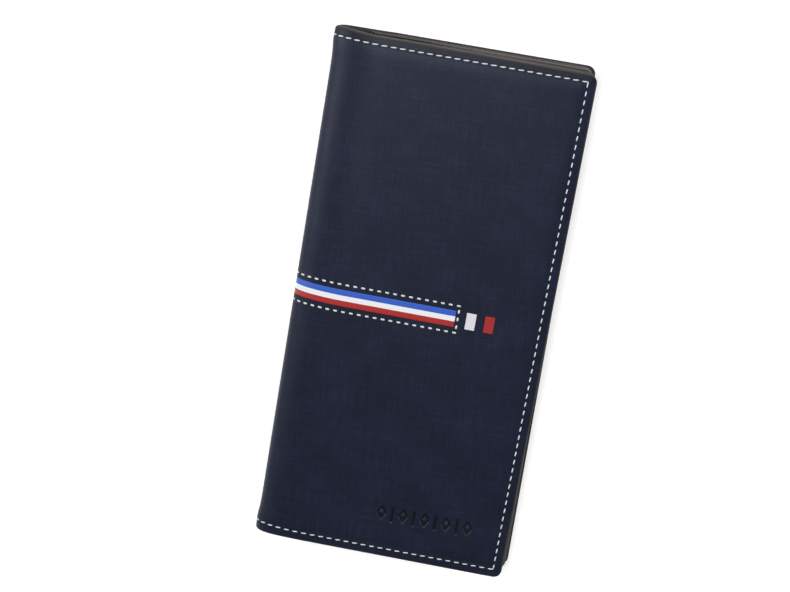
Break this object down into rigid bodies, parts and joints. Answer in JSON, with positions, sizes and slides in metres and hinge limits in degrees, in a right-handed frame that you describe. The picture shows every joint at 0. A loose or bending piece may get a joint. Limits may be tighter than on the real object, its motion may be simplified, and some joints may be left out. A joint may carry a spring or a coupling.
{
  "type": "long wallet",
  "caption": "Long bifold leather wallet that opens flat at two creases, with card rows, bill compartments and a zipped coin pocket with a sliding puller.",
  "frame": {"origin": "centre of the outer face of the back cover, on the surface the closed wallet lies on", "axes": "+Y along the length, +X from the fold to the opening edge, +Z out of the front cover"},
  "size_m": [0.09, 0.185, 0.0145],
  "materials": {
    "cover_leather": "fine linen-like emboss, low sheen",
    "inner_leather": "fine grain, low sheen",
    "card_leather": "fine grain, low sheen",
    "stiffening_board": "grey-brown board",
    "lining_cloth": "plain weave",
    "coin_pocket_cloth": "twill",
    "white_thread": "twisted polyester thread",
    "striped_ribbon": "woven ribbon in blue, white and red stripes",
    "white_patch": "smooth woven",
    "red_patch": "smooth woven",
    "zip_tape": "herringbone tape",
    "zip_coil": "nylon coil",
    "zip_metal": "nickel plated",
    "clear_film": "clear film"
  },
  "bodies": {
    "back_half": {"back_cover": "cover_leather", "back_board": "stiffening_board", "back_lining": "lining_cloth", "back_panel": "inner_leather", "back_stitching": "white_thread", "back_ribbon": "striped_ribbon", "coin_lining": "coin_pocket_cloth", "coin_wall": "inner_leather", "zip_tape_fold_side": "zip_tape", "zip_tape_edge_side": "zip_tape", "zip_coil_fold_side": "zip_coil", "zip_coil_edge_side": "zip_coil", "zip_stops": "zip_metal", "back_card_row_1": "card_leather", "back_card_row_2": "card_leather", "back_card_row_3": "card_leather"},
    "spine": {"spine_cover": "cover_leather", "spine_lining": "lining_cloth", "spine_stitching": "white_thread", "spine_ribbon": "striped_ribbon"},
    "front_half": {"front_cover": "cover_leather", "front_board": "stiffening_board", "front_lining": "lining_cloth", "front_panel": "inner_leather", "front_stitching": "white_thread", "front_ribbon": "striped_ribbon", "ribbon_stitching": "white_thread", "white_tab": "white_patch", "red_tab": "red_patch", "front_card_row_1": "card_leather", "front_card_row_2": "card_leather", "front_card_row_3": "card_leather", "front_card_row_4": "card_leather", "window_frame": "inner_leather", "window_film": "clear_film"},
    "zip_slider": {"zip_slider": "zip_metal"},
    "zip_puller": {"zip_puller": "zip_metal"}
  },
  "joints": [
    {"name": "back_crease", "type": "hinge", "parent": "back_half", "child": "spine", "pos_m": [-0.04177, 0, 0.0033], "axis": [0, -1, 0], "range_deg": [0, 90]},
    {"name": "front_crease", "type": "hinge", "parent": "spine", "child": "front_half", "pos_m": [-0.04177, 0, 0.0112], "axis": [0, -1, 0], "range_deg": [0, 90]},
    {"name": "zip_slide", "type": "slide", "parent": "back_half", "child": "zip_slider", "axis": [0, 1, 0], "range_m": [-0.134, 0]},
    {"name": "puller_swing", "type": "hinge", "parent": "zip_slider", "child": "zip_puller", "pos_m": [-0.024, 0.067, 0.0058], "axis": [0, 0, 1], "range_deg": [-30, 30]}
  ],
  "couplings": [
    {"joint": "front_crease", "follows": "back_crease", "ratio": 1}
  ]
}
